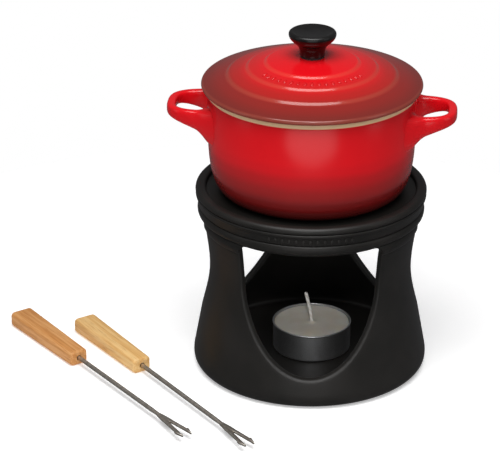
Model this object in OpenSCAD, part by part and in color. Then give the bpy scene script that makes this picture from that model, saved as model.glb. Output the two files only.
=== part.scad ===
// Fondue pot set: a small lidded stoneware pot on a tealight stand, with two forks.
// Millimetres, +Z up. The origin is the centre of the stand's foot, on the table.
// The front of the stand, with one window in the middle of it, faces -Y.

/* [Stand] */
// Height of the rounded foot edge
foot_round = 5; // [1:0.5:8]
// How much narrower the stand is at its waist than at its lip
waist_in = 5.9; // [3:0.05:12]
// How far the waist lies below the top
waist_drop = 38; // [30:1:60]
// Wall of the stand
stand_wall = 4.5; // [3:0.1:7]
// Top of the lip, which is the height of the stand
stand_h = 92; // [80:1:120]
// Room between the lip and the pot standing inside it
lip_play = 3; // [1:0.1:6]
// Width of the lip
lip_w = 5; // [3:0.1:8]
// Height of the moulded ring below the lip
ring_h = 20.5; // [16:0.5:26]
// Upper side of the floor that the tealight stands on
floor_z = 6; // [4:0.5:12]
// Thickness of that floor
floor_t = 3.5; // [2:0.5:6]

/* [Windows] */
// Number of windows around the stand
window_count = 3; // [2:1:4]
// Width of a leg between two windows, along the outside of the waist
leg_w = 34.5; // [15:0.1:60]
// Height of the sill in the middle of a window
sill_z = 14.5; // [10:0.5:30]
// Height of the upright part of a window's sides
window_side_h = 18; // [5:0.5:40]
// How far the flat top of a window lies below the stand's top
window_top_drop = 15.5; // [12:0.5:30]

/* [Pot seat] */
// Depth of the ledge that the pot stands on, below the lip
seat_depth = 2.5; // [1:0.5:6]
// Width of the ring on which the pot's foot stands
seat_w = 3.5; // [2:0.5:20]
// Thickness of the ledge
ledge_t = 5; // [3:0.5:8]

/* [Pot] */
// How far the edge of the pot's foot lies inside its rim
pot_foot_in = 9.9; // [4:0.1:16]
// How far the pot's side lies inside its rim where it turns into the bottom
pot_turn_in = 2.6; // [0.5:0.1:6]
// Radius at the rim
pot_rim_r = 49.4; // [42:0.1:62]
// Height of the pot without its lid
pot_h = 52; // [40:1:80]
// Wall of the pot
pot_wall = 4.2; // [3:0.1:6]
// Thickness of the pot's bottom
pot_floor_t = 5; // [3:0.5:8]
// Turn of the pot on its seat, in degrees
pot_turn = -3.5; // [-180:0.5:180]

/* [Pot handles] */
// How far a handle stands out from the pot's rim
handle_out = 18.6; // [12:0.1:30]
// Half of a handle's outer width
handle_half_w = 16; // [10:0.1:24]
// Thickness of the strap
handle_t = 4.2; // [3:0.1:6]
// Height of the strap at its outer end
handle_h = 5.2; // [4:0.1:10]
// How much taller the strap is where it meets the pot
handle_root = 7.5; // [0:0.5:14]
// How much thicker the strap is where it meets the pot
handle_flare = 3; // [0:0.5:5]
// How far the strap's top lies below the pot's rim
handle_drop = 9; // [4:0.5:20]

/* [Lid] */
// How far the lid stands out over the pot's rim
lid_overhang = 2.4; // [0.5:0.1:6]
// Height of the lid's edge
lid_edge_h = 2.5; // [2:0.1:6]
// Height of the lid's crown above the pot's rim
lid_crown_h = 14.3; // [10:0.1:24]
// Thickness of the lid
lid_wall = 4.2; // [3:0.1:6]
// Depth of the rim under the lid that locates it in the pot
lid_spigot_h = 3.5; // [2:0.5:8]
// Radial play between that rim and the pot
lid_play = 0.8; // [0.3:0.1:2]
// How far the three raised steps lie inside the lid's edge, from the middle outwards
lid_step_in = [30, 21.4, 12.2];
// Height of each raised step
step_h = 0.8; // [0.3:0.1:2]

/* [Knob] */
// Radius of the knob's top
knob_r = 11.1; // [8:0.1:18]
// Radius of the knob's neck
knob_neck_r = 5.9; // [4.5:0.1:9]
// Height of the knob
knob_h = 12.6; // [10:0.1:24]
// Depth of the dish in the knob's top
knob_dish = 1.2; // [0:0.1:3]
// Thread diameter of the knob screw
screw_d = 4; // [3:0.5:5]
// Diameter of the screw's head
screw_head_d = 7.5; // [6:0.5:9]

/* [Tealight] */
// Diameter of the tealight cup
tealight_d = 38; // [30:0.5:45]
// Height of the tealight cup
tealight_h = 14; // [10:0.5:25]
// Wall of the cup
cup_wall = 0.5; // [0.3:0.1:1]
// How far the wax lies below the cup's rim
wax_drop = 1; // [0.5:0.5:5]
// Diameter of the wick
wick_d = 1.6; // [1:0.1:3]
// Length of wick above the wax
wick_free = 15.5; // [5:0.5:20]
// How far the wick's tip leans to the left
wick_lean = 3; // [0:0.5:6]
// Place of the tealight from left to right
tealight_x = 1; // [-5:0.5:5]

/* [Forks] */
// Overall length of a fork
fork_l = 151; // [120:1:220]
// Length of the wooden handle
grip_l = 56; // [40:1:90]
// Width of the handle at its far end
grip_w = 12; // [8:0.1:16]
// Width of the handle where the shank leaves it
grip_front_w = 9.4; // [7:0.1:16]
// Height of the handle
grip_h = 7.6; // [6:0.1:12]
// Diameter of the steel shank
shank_d = 2.1; // [1.2:0.1:3]
// Length of the shank inside the handle
tang_l = 22; // [10:1:40]
// Length of the two prongs
prong_l = 17; // [10:1:30]
// Distance between the tips of the prongs, over all
prong_spread = 7.2; // [4:0.1:10]
// Middle of the first fork's handle
fork_1_at = [-127.8, 10.8];
// Direction of the first fork, in degrees from +X
fork_1_turn = -54; // [-180:0.5:180]
// Middle of the second fork's handle
fork_2_at = [-96.2, 4];
// Direction of the second fork, in degrees from +X
fork_2_turn = -55.5; // [-180:0.5:180]

/* [Hidden] */
$fn = 96;

// How steeply the stand's sides run, and how wide the bend at the waist is
stand_slope = 0.195;
waist_bend = 12;
// Everything round is worked out from the pot's rim, from the top of the set downwards
pot_turn_r = pot_rim_r - pot_turn_in;
pot_foot_r = pot_rim_r - pot_foot_in;
handle_reach = pot_rim_r + handle_out;
lid_r = pot_rim_r + lid_overhang;
lid_steps = [for (inside = lid_step_in) lid_r - inside];
lip_r = pot_turn_r + lip_play + lip_w;
heat_hole_r = pot_foot_r - seat_w;
waist_r = lip_r - waist_in;
waist_z = stand_h - waist_drop;
window_w = 2 * waist_r * sin(180 / window_count - leg_w / waist_r * 90 / PI);
window_top_z = stand_h - window_top_drop;
window_mid_z = window_top_z - window_side_h;
// The rounded edge of the foot starts a little inside the line of the side
foot_r = side_r(foot_round) - 0.33;
// Highest and lowest place of the pot, and the lid's and the knob's seats
seat_z = stand_h - seat_depth;
pot_top_z = seat_z + pot_h;
crown_z = pot_top_z + lid_crown_h;
turn_h = 9.5;
// The pot's rim is a glazed band of this height
rim_band = 3.4;
// Radius of the flat crown that the knob stands on
crown_r = knob_neck_r + 1.2;
// Clearance around screws, tangs and other things pushed together
fit = 0.05;
// Gap under the lid's rim, where it rests on the pot
lid_gap = 0.02;
gasket_t = 0.8;
washer_t = 0.8;
head_t = 2.2;
insert_r = screw_d / 2 + 1.4;
insert_h = 6.5;
thread_up = 5.5;
wick_r = wick_d / 2;
tealight_r = tealight_d / 2;
wax_z = floor_z + tealight_h - wax_drop;
sustainer_r = 6;
sustainer_t = 0.4;
grip_round = 2.6;
grip_end_round = 1.4;
shank_z = grip_h / 2;
flat_t = 1.1;
tine_w = 1.9;
barb = 1;

// Points on an arc around [x, z], from angle a to angle b
function arc(x, z, r, a, b, n = 6) =
    [for (i = [0:n]) let (t = a + (b - a) * i / n) [x + r * cos(t), z + r * sin(t)]];

// Points on a curve from p to r that is drawn towards q, without the point p
function bend(p, q, r, n = 6) =
    [for (i = [1:n]) let (t = i / n) (1 - t) * (1 - t) * p + 2 * t * (1 - t) * q + t * t * r];

// A half round bead on a wall, from height a to height b
function bead(r, a, b, out, n = 6) =
    [for (i = [0:n]) let (t = 180 * i / n) [r + out * sin(t), (a + b) / 2 - (b - a) / 2 * cos(t)]];

// Outside radius of the stand's waisted side at height z
function side_r(z) =
    waist_r + stand_slope * (sqrt(pow(waist_bend, 2) + pow(z - waist_z, 2)) - waist_bend);

// A round rod along a list of points, with flat ends
module rod(points, r, sides = 12) {
    rings = [for (p = points) for (k = [0:sides - 1])
        p + [r * cos(360 * k / sides), r * sin(360 * k / sides), 0]];
    last = len(points) - 1;
    faces = concat(
        [[for (k = [0:sides - 1]) k]],
        [for (i = [0:last - 1]) for (k = [0:sides - 1]) let (j = (k + 1) % sides)
            [i * sides + k, (i + 1) * sides + k, (i + 1) * sides + j, i * sides + j]],
        [[for (k = [sides - 1:-1:0]) last * sides + k]]);
    polyhedron(rings, faces);
}

module stand_profile() {
    ring_z = stand_h - ring_h;
    inner = side_r(waist_z) - stand_wall;
    under_z = seat_z - ledge_t;
    floor_r = side_r(floor_z + 3) - stand_wall;
    outside = concat(
        arc(foot_r - foot_round, foot_round, foot_round, -90, 0),
        [for (z = [foot_round + 2:4:ring_z]) [side_r(z), z]],
        bead(side_r(ring_z), ring_z + 0.5, ring_z + 5.8, 1),
        [[lip_r - 2.2, ring_z + 6.4]],
        bead(lip_r - 1.9, ring_z + 7, ring_z + 11.2, 1),
        [[lip_r - 1.2, ring_z + 11.7], [lip_r - 1, ring_z + 15.2]],
        bead(lip_r - 0.8, ring_z + 15.5, ring_z + 17.3, 0.7),
        arc(lip_r - 2, stand_h - 2, 2, -20, 90),
        arc(lip_r - lip_w + 1, stand_h - 1, 1, 90, 180));
    inside = concat(
        [[lip_r - lip_w, seat_z], [heat_hole_r, seat_z], [heat_hole_r, under_z],
            [inner - 2, under_z], [inner, under_z - 4]],
        [for (z = [under_z - 8:-6:floor_z + 4]) [side_r(z) - stand_wall, z]],
        [[floor_r - 3, floor_z], [0, floor_z], [0, floor_z - floor_t],
            [foot_r - foot_round - 6, floor_z - floor_t], [foot_r - foot_round - 6, 0]]);
    polygon(concat(outside, inside));
}

// The outline of a window: half an ellipse below, upright sides and a flat top above
module window_outline() {
    a = window_w / 2;
    b = window_mid_z - sill_z;
    corner = 3;
    polygon(concat(
        [for (t = [180:7.5:360]) [a * cos(t), window_mid_z + b * sin(t)]],
        arc(a - corner, window_top_z - corner, corner, 0, 90, 4),
        arc(corner - a, window_top_z - corner, corner, 90, 180, 4)));
}

module stand() {
    color("#232120")
    difference() {
        rotate_extrude() stand_profile();
        for (i = [0:window_count - 1])
            rotate([90, 0, 360 * i / window_count])
                linear_extrude(foot_r + lip_r) window_outline();
    }
}

module pot_profile() {
    foot = [pot_foot_r, seat_z];
    turn = [pot_turn_r, seat_z + turn_h];
    rim = [pot_rim_r - 0.2, pot_top_z - rim_band];
    wide = [pot_rim_r - 0.8, turn.y + 13];
    in_floor = seat_z + pot_floor_t;
    in_r = pot_rim_r - pot_wall;
    polygon(concat(
        [[0, seat_z + 0.8], [pot_foot_r - 5, seat_z + 0.8], [pot_foot_r - 5.8, seat_z], foot],
        bend(foot, [pot_turn_r - 1.6, seat_z + 2], turn, 8),
        bend(turn, [wide.x - 0.5, turn.y + 4], wide),
        [rim],
        bead(pot_rim_r - 0.3, rim.y + 0.1, pot_top_z - 0.6, 0.4, 4),
        arc(pot_rim_r - 1, pot_top_z - 0.6, 0.6, 20, 90, 3),
        arc(in_r + 0.8, pot_top_z - 0.8, 0.8, 90, 180, 3),
        bend([in_r, in_floor + 16], [in_r - 1.4, in_floor], [in_r - 12, in_floor], 8),
        [[0, in_floor]]));
}

// One loop handle: a flat-topped strap that starts and ends inside the pot's wall
module pot_handle() {
    start = pot_rim_r - pot_wall + 0.3;
    reach = handle_reach - handle_t / 2 - start;
    half = handle_half_w - handle_t / 2;
    top = pot_top_z - handle_drop;
    rings = 28;
    sides = 16;
    square = 0.66;
    function along(t) = [
        start + reach * pow(max(cos(t), 0), square),
        sign(t) * half * pow(abs(sin(t)), square)];
    function inward(p) = (start + reach - p.x) / reach;
    function tall(p) = handle_h + handle_root * pow(inward(p), 1.8);
    function thick(p) = handle_t + handle_flare * pow(inward(p), 4);
    points = [for (i = [0:rings]) let (
            t = -90 + 180 * i / rings,
            p = along(t),
            d = along(min(t + 1, 90)) - along(max(t - 1, -90)),
            n = [-d.y, d.x] / norm(d),
            h = tall(p))
        for (k = [0:sides - 1]) let (
            a = 360 * k / sides,
            u = sign(cos(a)) * pow(abs(cos(a)), 0.6) * thick(p) / 2,
            v = sign(sin(a)) * pow(abs(sin(a)), 0.6) * h / 2)
            [p.x + n.x * u, p.y + n.y * u, top - h / 2 + v]];
    faces = concat(
        [[for (k = [0:sides - 1]) k]],
        [for (i = [0:rings - 1]) for (k = [0:sides - 1]) let (j = (k + 1) % sides)
            [i * sides + k, (i + 1) * sides + k, (i + 1) * sides + j, i * sides + j]],
        [[for (k = [sides - 1:-1:0]) rings * sides + k]]);
    polyhedron(points, faces);
}

module pot() {
    color("#c8141a")
    rotate([0, 0, pot_turn]) {
        rotate_extrude() pot_profile();
        for (turn = [0, 180])
            rotate([0, 0, turn]) pot_handle();
    }
}

module lid_profile() {
    z = pot_top_z;
    edge = z + lid_edge_h;
    dome_r = lid_r - 1.5;
    dome_h = lid_crown_h - lid_edge_h - 3 * step_h;
    // Height of the top at radius r, on top of s steps
    function top_z(r, s) =
        edge + dome_h * (1 - pow((r - crown_r) / (dome_r - crown_r), 1.4)) + s * step_h;
    in_r = pot_rim_r - pot_wall - lid_play;
    edges = [dome_r, lid_steps[2], lid_steps[1], lid_steps[0], crown_r];
    // Four bands from the edge to the crown, each one step higher than the last
    top = [for (i = [0:3]) for (k = [0:4]) let (
            from = edges[i] - (i > 0 ? step_h / 2 : 0),
            to = edges[i + 1] + (i < 3 ? step_h / 2 : 0),
            r = from + (to - from) * k / 4)
        if (i > 0 || k > 0) [r, top_z(r, i)]];
    polygon(concat(
        [[screw_d / 2 + 0.2, crown_z - lid_wall], [crown_r + 4, crown_z - lid_wall],
            [in_r - 4, edge - 0.6], [in_r - 3.2, z - lid_spigot_h], [in_r, z - lid_spigot_h],
            [in_r, z + lid_gap], [lid_r - 0.8, z + lid_gap]],
        arc(lid_r - 1, z + 1, 1, -60, 20, 4),
        bend([lid_r - 0.1, z + 1.4], [lid_r - 0.3, edge - 0.2], [lid_r - 1.5, edge], 4),
        top,
        [[screw_d / 2 + 0.2, crown_z]]));
}

module lid() {
    color("#c2141b")
    rotate_extrude() lid_profile();
}

module knob_profile() {
    base = crown_z + gasket_t;
    top = base + knob_h - gasket_t;
    polygon(concat(
        [[insert_r + fit, base], [knob_neck_r, base]],
        bend([knob_neck_r, base + 0.4], [knob_neck_r - 0.3, base + 4.2],
            [knob_r - 2.3, base + knob_h * 0.52], 8),
        bend([knob_r - 2.3, base + knob_h * 0.52], [knob_r - 0.2, base + knob_h * 0.66],
            [knob_r, top - 1.6]),
        arc(knob_r - 1.2, top - 1.2, 1.2, 0, 110, 5),
        bend([knob_r - 1.7, top - 0.2], [knob_r - 4, top - knob_dish], [0, top - knob_dish]),
        [[0, base + insert_h + 0.4], [insert_r + fit, base + insert_h + 0.4]]));
}

module knob() {
    color("#151414")
    rotate_extrude() knob_profile();
}

module tube(outer, inner, z, h) {
    translate([0, 0, z])
    difference() {
        cylinder(r = outer, h = h);
        translate([0, 0, -1]) cylinder(r = inner, h = h + 2);
    }
}

module knob_gasket() {
    color("#3a3838")
    tube(knob_neck_r - 0.3, screw_d / 2 + 0.2, crown_z, gasket_t);
}

module knob_insert() {
    color("#b58a3c")
    tube(insert_r, screw_d / 2 + fit, crown_z + gasket_t, insert_h);
}

module knob_washer() {
    color("#c0c2c4")
    tube(screw_head_d / 2 + 1, screw_d / 2 + 0.2, crown_z - lid_wall - washer_t, washer_t);
}

module knob_screw() {
    head_z = crown_z - lid_wall - washer_t;
    color("#b4b7ba")
    difference() {
        union() {
            translate([0, 0, head_z - head_t])
                cylinder(d1 = screw_head_d - 1.2, d2 = screw_head_d, h = head_t);
            translate([0, 0, head_z - 0.1])
                cylinder(d = screw_d, h = lid_wall + washer_t + gasket_t + thread_up + 0.1);
        }
        translate([-screw_head_d, -0.5, head_z - head_t - 1])
            cube([2 * screw_head_d, 1, 2]);
    }
}

module tealight_cup() {
    rim = floor_z + tealight_h;
    r = tealight_r;
    color("#c9cbcc")
    translate([tealight_x, 0, 0])
    rotate_extrude()
        polygon(concat(
            [[0, floor_z], [r - 1.6, floor_z]],
            arc(r - 1.6, floor_z + 1.2, 1.2, -90, 0, 4),
            [[r - 0.3, rim - 1.2]],
            arc(r - 0.5, rim - 0.5, 0.5, -30, 120, 5),
            [[r - 0.3 - cup_wall - 0.3, rim - 1.4], [r - 0.4 - cup_wall, floor_z + 1.4],
                [r - 1.6 - cup_wall, floor_z + cup_wall], [0, floor_z + cup_wall]]));
}

module tealight_wax() {
    color("#f0ead8")
    translate([tealight_x, 0, 0])
    rotate_extrude()
        polygon([
            [sustainer_r + 0.1, floor_z + cup_wall], [tealight_r - 2 - cup_wall, floor_z + cup_wall],
            [tealight_r - 0.55 - cup_wall, floor_z + 2.2], [tealight_r - 0.75 - cup_wall, wax_z - 0.3],
            [tealight_r - 1.4 - cup_wall, wax_z], [5, wax_z - 0.2], [2, wax_z + 0.4],
            [wick_r + fit, wax_z + 0.6], [wick_r + fit, floor_z + cup_wall + 2.1],
            [wick_r + 0.5, floor_z + cup_wall + 2.1],
            [wick_r + 0.5, floor_z + cup_wall + sustainer_t],
            [sustainer_r + 0.1, floor_z + cup_wall + sustainer_t]]);
}

module tealight_wick() {
    low = floor_z + cup_wall + sustainer_t;
    color("#ece6d6")
    translate([tealight_x, 0, 0])
        rod(concat([[0, 0, low], [0, 0, wax_z + 1]],
            [for (i = [1:4]) let (t = i / 4)
                [-wick_lean * pow(t, 1.3), 0, wax_z + 1 + (wick_free - 1) * t]]), wick_r);
}

module wick_sustainer() {
    low = floor_z + cup_wall;
    color("#a9acae")
    translate([tealight_x, 0, low]) {
        cylinder(r = sustainer_r, h = sustainer_t);
        difference() {
            cylinder(r = wick_r + 0.45, h = 2);
            translate([0, 0, sustainer_t]) cylinder(r = wick_r + fit, h = 3);
        }
    }
}

// A fork lies along +X with the middle of its handle at the origin
module place_fork(at, turn) {
    translate([at.x, at.y, 0]) rotate([0, 0, turn]) children();
}

module fork_handle() {
    color("#d9ab72")
    difference() {
        intersection() {
            translate([-grip_l / 2, 0, 0]) rotate([90, 0, 90]) linear_extrude(grip_l)
                translate([0, grip_h / 2]) rounded(grip_w, grip_w, grip_h, grip_round);
            translate([0, 0, -1]) linear_extrude(grip_h + 2)
                rotate([0, 0, 90]) rounded(grip_w, grip_front_w, grip_l, grip_end_round);
        }
        translate([grip_l / 2 - tang_l, 0, shank_z]) rotate([0, 90, 0])
            cylinder(d = shank_d + 2 * fit, h = tang_l + 1, $fn = 32);
    }
}

// A four-sided outline around the origin with round corners. It is h high, as wide as
// low_w below and as wide as high_w above.
module rounded(high_w, low_w, h, r) {
    polygon(concat(
        arc(high_w / 2 - r, h / 2 - r, r, 0, 90), arc(r - high_w / 2, h / 2 - r, r, 90, 180),
        arc(r - low_w / 2, r - h / 2, r, 180, 270), arc(low_w / 2 - r, r - h / 2, r, 270, 360)));
}

module fork_prongs() {
    split_x = fork_l - grip_l / 2 - prong_l;
    neck_x = split_x - 8;
    side = prong_spread / 2;
    root = shank_d * 0.35;
    color("#8f8a84") {
        translate([grip_l / 2 - tang_l + 0.2, 0, shank_z]) rotate([0, 90, 0])
            cylinder(d = shank_d, h = neck_x - grip_l / 2 + tang_l, $fn = 32);
        translate([0, 0, shank_z - flat_t / 2]) linear_extrude(flat_t) {
            polygon([[neck_x - 2, -root], [neck_x + 0.5, -root], [split_x, -tine_w],
                [split_x + 1, -tine_w], [split_x + 1, tine_w], [split_x, tine_w],
                [neck_x + 0.5, root], [neck_x - 2, root]]);
            for (s = [-1, 1])
                polygon([[split_x, 0], [split_x, s * tine_w],
                    [split_x + prong_l - 5, s * (side - barb * 0.4)],
                    [split_x + prong_l - 5.6, s * side],
                    [split_x + prong_l - 4, s * side],
                    [split_x + prong_l, s * (side - tine_w * 0.7)],
                    [split_x + prong_l - 3.5, s * (side - tine_w)],
                    [split_x + 3, s * 0.35]]);
        }
    }
}

module fork_1_handle() {
    place_fork(fork_1_at, fork_1_turn) fork_handle();
}

module fork_1_prongs() {
    place_fork(fork_1_at, fork_1_turn) fork_prongs();
}

module fork_2_handle() {
    place_fork(fork_2_at, fork_2_turn) fork_handle();
}

module fork_2_prongs() {
    place_fork(fork_2_at, fork_2_turn) fork_prongs();
}

stand();
pot();
lid();
knob();
knob_insert();
knob_screw();
knob_washer();
knob_gasket();
tealight_cup();
tealight_wax();
tealight_wick();
wick_sustainer();
fork_1_handle();
fork_1_prongs();
fork_2_handle();
fork_2_prongs();
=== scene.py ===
# %% [markdown]
# # A small fondue set, piece by piece
# The CAD model comes in first as a fixed frame: it fixes every size and every place.
# The lesson then makes each piece again with the softness of the real clay, foil, wood
# and steel, and gives every surface a finish of its own. All lengths in Blender are in
# metres. A potter thinks in millimetres, so most numbers below are millimetres times MM.

# %% Load the frame
from math import asin, atan, atan2, cos, degrees, pi, radians, sin, sqrt

import bmesh
import bpy
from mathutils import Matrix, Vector


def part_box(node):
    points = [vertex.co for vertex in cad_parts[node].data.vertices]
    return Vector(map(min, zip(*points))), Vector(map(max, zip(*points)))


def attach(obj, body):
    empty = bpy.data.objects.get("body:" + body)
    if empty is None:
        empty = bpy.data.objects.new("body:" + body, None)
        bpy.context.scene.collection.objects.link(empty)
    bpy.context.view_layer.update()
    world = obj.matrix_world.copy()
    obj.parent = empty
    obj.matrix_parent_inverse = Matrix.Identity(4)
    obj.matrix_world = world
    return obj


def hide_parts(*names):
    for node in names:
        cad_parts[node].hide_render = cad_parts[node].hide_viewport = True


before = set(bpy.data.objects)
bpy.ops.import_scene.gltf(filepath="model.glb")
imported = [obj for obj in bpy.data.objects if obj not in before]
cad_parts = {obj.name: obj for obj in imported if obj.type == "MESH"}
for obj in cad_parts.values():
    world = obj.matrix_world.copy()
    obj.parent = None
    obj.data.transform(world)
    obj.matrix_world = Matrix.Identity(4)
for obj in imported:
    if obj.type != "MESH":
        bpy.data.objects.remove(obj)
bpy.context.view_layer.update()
MM = 0.001

# %% [markdown]
# ## Camera
# The set is seen from the front and a little above, as somebody standing at the table
# sees it, through a long lens that keeps the circles calm. The stand's axis is a little
# to the right of the picture's middle, so that the forks have room on the left.

# %% Camera
CAMERA_HEIGHT = 594.62 * MM
CAMERA_BACK = 1176.97 * MM
LOOK_DOWN = 24.08
LOOK_LEFT = 1.409
LENS = 194.4
FILM_WIDTH = 36
camera = bpy.data.objects.new("camera", bpy.data.cameras.new("camera"))
bpy.context.collection.objects.link(camera)
camera.location = (0, -CAMERA_BACK, CAMERA_HEIGHT)
camera.rotation_euler = (radians(90 - LOOK_DOWN), 0, radians(LOOK_LEFT))
camera.data.lens = LENS
camera.data.sensor_width = FILM_WIDTH
bpy.context.scene.camera = camera
bpy.context.scene.view_settings.view_transform = "Standard"
print("camera looks down", LOOK_DOWN, "degrees")

# %% [markdown]
# ## Colours and nodes
# Colours are easiest to judge as the hex values of a screen, but a shader works with
# linear light, so one function turns the first into the second. Another adds a node to
# a material, sets what is given and links what is to be linked.

# %% Colour and node helpers
def linear(code):
    """The linear colour of an sRGB hex value such as c8141a."""
    values = [int(code[i:i + 2], 16) / 255 for i in (0, 2, 4)]
    return (*(v / 12.92 if v <= 0.04045 else ((v + 0.055) / 1.055) ** 2.4 for v in values), 1.0)


def add(tree, kind, inputs=None, **settings):
    """Adds a node. An input is a value, or the output of another node, which is linked."""
    node = tree.nodes.new(kind)
    for key, value in settings.items():
        setattr(node, key, value)
    for key, value in (inputs or {}).items():
        if isinstance(value, bpy.types.NodeSocket):
            tree.links.new(value, node.inputs[key])
        else:
            node.inputs[key].default_value = value
    return node


def finish(name, **surface):
    """A material with a Principled surface: its tree, its shader and its place pattern."""
    material = bpy.data.materials.new(name)
    material.use_nodes = True
    tree = material.node_tree
    shader = tree.nodes["Principled BSDF"]
    for key, value in surface.items():
        shader.inputs[key.replace("_", " ")].default_value = value
    place = add(tree, "ShaderNodeTexCoord").outputs["Object"]
    return material, tree, shader, place


def fade(tree, value, *stops):
    """A smooth colour ramp through (position, hex colour) stops."""
    ramp = add(tree, "ShaderNodeValToRGB", {"Fac": value})
    ramp.color_ramp.interpolation = "EASE"
    while len(ramp.color_ramp.elements) < len(stops):
        ramp.color_ramp.elements.new(0.5)
    for element, (position, code) in zip(ramp.color_ramp.elements, stops):
        element.position = position
        element.color = linear(code)
    return ramp.outputs["Color"]


def paint(tree, shader, value, *stops):
    """Colours the surface with a ramp through (position, hex colour) stops."""
    tree.links.new(fade(tree, value, *stops), shader.inputs["Base Color"])


def polish(tree, shader, value, low, high):
    """Lets a pattern carry the roughness from low to high."""
    sheen = add(tree, "ShaderNodeMapRange", {"Value": value, "To Min": low, "To Max": high})
    tree.links.new(sheen.outputs["Result"], shader.inputs["Roughness"])


def emboss(tree, shader, height, depth, strength):
    """Fine relief that is too shallow to model: depth in millimetres."""
    bump = add(tree, "ShaderNodeBump", {"Height": height, "Distance": depth * MM, "Strength": strength})
    tree.links.new(bump.outputs["Normal"], shader.inputs["Normal"])


# %% [markdown]
# ## Table and light
# A round white table top, a pale room and soft lights. The large light hangs over and a
# little in front of the set and makes the soft arcs on the lid. Two tall ones stand at
# the sides and show where the black stand curves away, and a faint oval one in front
# makes the patch of light on the pot. A narrow beam reaches through the front window to
# the tealight, which would be lost in the dark of the stand. The table glows a little, so
# that it stays white in the shade, and glossy surfaces don't mirror it.

# %% Table, room and lights
TABLE_R = 0.25
TABLE_GLOW = 0.35
bpy.ops.mesh.primitive_circle_add(vertices=128, radius=TABLE_R, fill_type="NGON", location=(-0.03, 0.02, 0))
table = bpy.context.object
table.name = "table_top"
bpy.ops.object.transform_apply(location=True)
table_white, tree, shader, place = finish("white_laminate", Roughness=0.7, Specular_IOR_Level=0.2)
speck = add(tree, "ShaderNodeTexNoise", {"Vector": place, "Scale": 1 / (8 * MM)}).outputs["Fac"]
paint(tree, shader, speck, (0.3, "f4f4f4"), (0.7, "f7f7f7"))
shader.inputs["Emission Color"].default_value = (1, 1, 1, 1)
shader.inputs["Emission Strength"].default_value = TABLE_GLOW
table.data.materials.append(table_white)
table.visible_glossy = False

world = bpy.data.worlds.new("room")
bpy.context.scene.world = world
world.use_nodes = True
tree = world.node_tree
ROOM_GREY, ROOM_WHITE = (0.14, 0.14, 0.145, 1), (1, 1, 1, 1)
seen = add(tree, "ShaderNodeLightPath").outputs["Is Camera Ray"]
air = add(tree, "ShaderNodeMixRGB", {"Fac": seen, "Color1": ROOM_GREY, "Color2": ROOM_WHITE})
tree.links.new(air.outputs["Color"], tree.nodes["Background"].inputs["Color"])


def hang(lamp, place, aim, power):
    """Hangs a lamp at place, turned towards aim."""
    lamp.energy = power
    holder = bpy.data.objects.new(lamp.name, lamp)
    bpy.context.collection.objects.link(holder)
    holder.location = place
    holder.rotation_euler = (Vector(aim) - Vector(place)).to_track_quat("-Z", "Y").to_euler()
    return holder


def soft_light(name, place, aim, size, power, shape="RECTANGLE"):
    """A wide soft light, which the camera doesn't see."""
    lamp = bpy.data.lights.new(name, "AREA")
    lamp.shape = shape
    lamp.size, lamp.size_y = size
    hang(lamp, place, aim, power).visible_camera = False


soft_light("overhead_light", (-0.05, -0.30, 0.95), (0, 0, 0.08), (0.75, 0.6), 9.6)
soft_light("left_light", (-0.95, -0.25, 0.45), (0, 0, 0.06), (0.35, 0.8), 0.5)
soft_light("right_light", (0.95, -0.35, 0.45), (0, 0, 0.06), (0.35, 0.8), 0.8)
soft_light("front_light", (0.0, -1.0, 0.05), (0, 0, 0.08), (1.0, 0.45), 1.5, "ELLIPSE")
beam = bpy.data.lights.new("window_light", "SPOT")
beam.spot_size = radians(9)
beam.spot_blend = 1.0
beam.shadow_soft_size = 0.06
hang(beam, (0, -0.70, 0.55), (0, 0, 0.015), 10.5)

# %% [markdown]
# ## Red pot glaze
# The pot is stoneware under a gloss glaze. Iron-red glaze breaks to a dark brown where
# it runs thin, and the same ramp along the height also paints in shade and the dark
# reflection of the black stand on the lower pot, so the foot is almost black and the
# colour comes up over the lower two thirds. The rim and the inside have a cream liner
# glaze. The distance from the axis, against the middle of the wall at each height, parts
# the two glazes. Glaze settles like a skin, so its relief is only long, low waves.

# %% Red pot glaze
pot_low, pot_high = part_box("pot")
SEAT_Z = pot_low.z / MM
POT_TOP_Z = pot_high.z / MM
POT_RIM_R = 49.4
POT_WALL = 4.2
RIM_BAND = 3.4
CREAM_BAND = 2.5
RED_FROM, RED_TO = 1.5, 33.5
MIDDLE_LOW, MIDDLE_HIGH = 42.5, 46.6
UNEVEN = 3.0


def between(tree, value, low, high):
    """0 below low, 1 above high, both in millimetres, and a straight line in between."""
    return add(tree, "ShaderNodeMapRange", {
        "Value": value, "From Min": low * MM, "From Max": high * MM}).outputs["Result"]


def parts(tree, place):
    """Height above the table and distance from the axis, in metres."""
    split = add(tree, "ShaderNodeSeparateXYZ", {"Vector": place})
    flat = add(tree, "ShaderNodeCombineXYZ", {"X": split.outputs["X"], "Y": split.outputs["Y"]})
    away = add(tree, "ShaderNodeVectorMath", {0: flat.outputs["Vector"]}, operation="LENGTH")
    return split.outputs["Z"], away.outputs["Value"]


def unevenly(tree, value, place, size):
    """A length made uneven in clouds of a size in millimetres, as a glaze runs."""
    cloud = add(tree, "ShaderNodeTexNoise", {"Vector": place, "Scale": 1 / (size * MM)}).outputs["Fac"]
    more = add(tree, "ShaderNodeMath", {0: cloud, 1: UNEVEN * MM}, operation="MULTIPLY").outputs[0]
    return add(tree, "ShaderNodeMath", {0: value, 1: more}, operation="ADD").outputs[0]


def glaze_skin(tree, shader, place):
    """Low waves 9 mm long, as on a settled glaze."""
    wave = add(tree, "ShaderNodeTexNoise", {"Vector": place, "Scale": 1 / (9 * MM), "Detail": 1.0})
    emboss(tree, shader, wave.outputs["Fac"], 0.05, 0.35)


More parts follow.
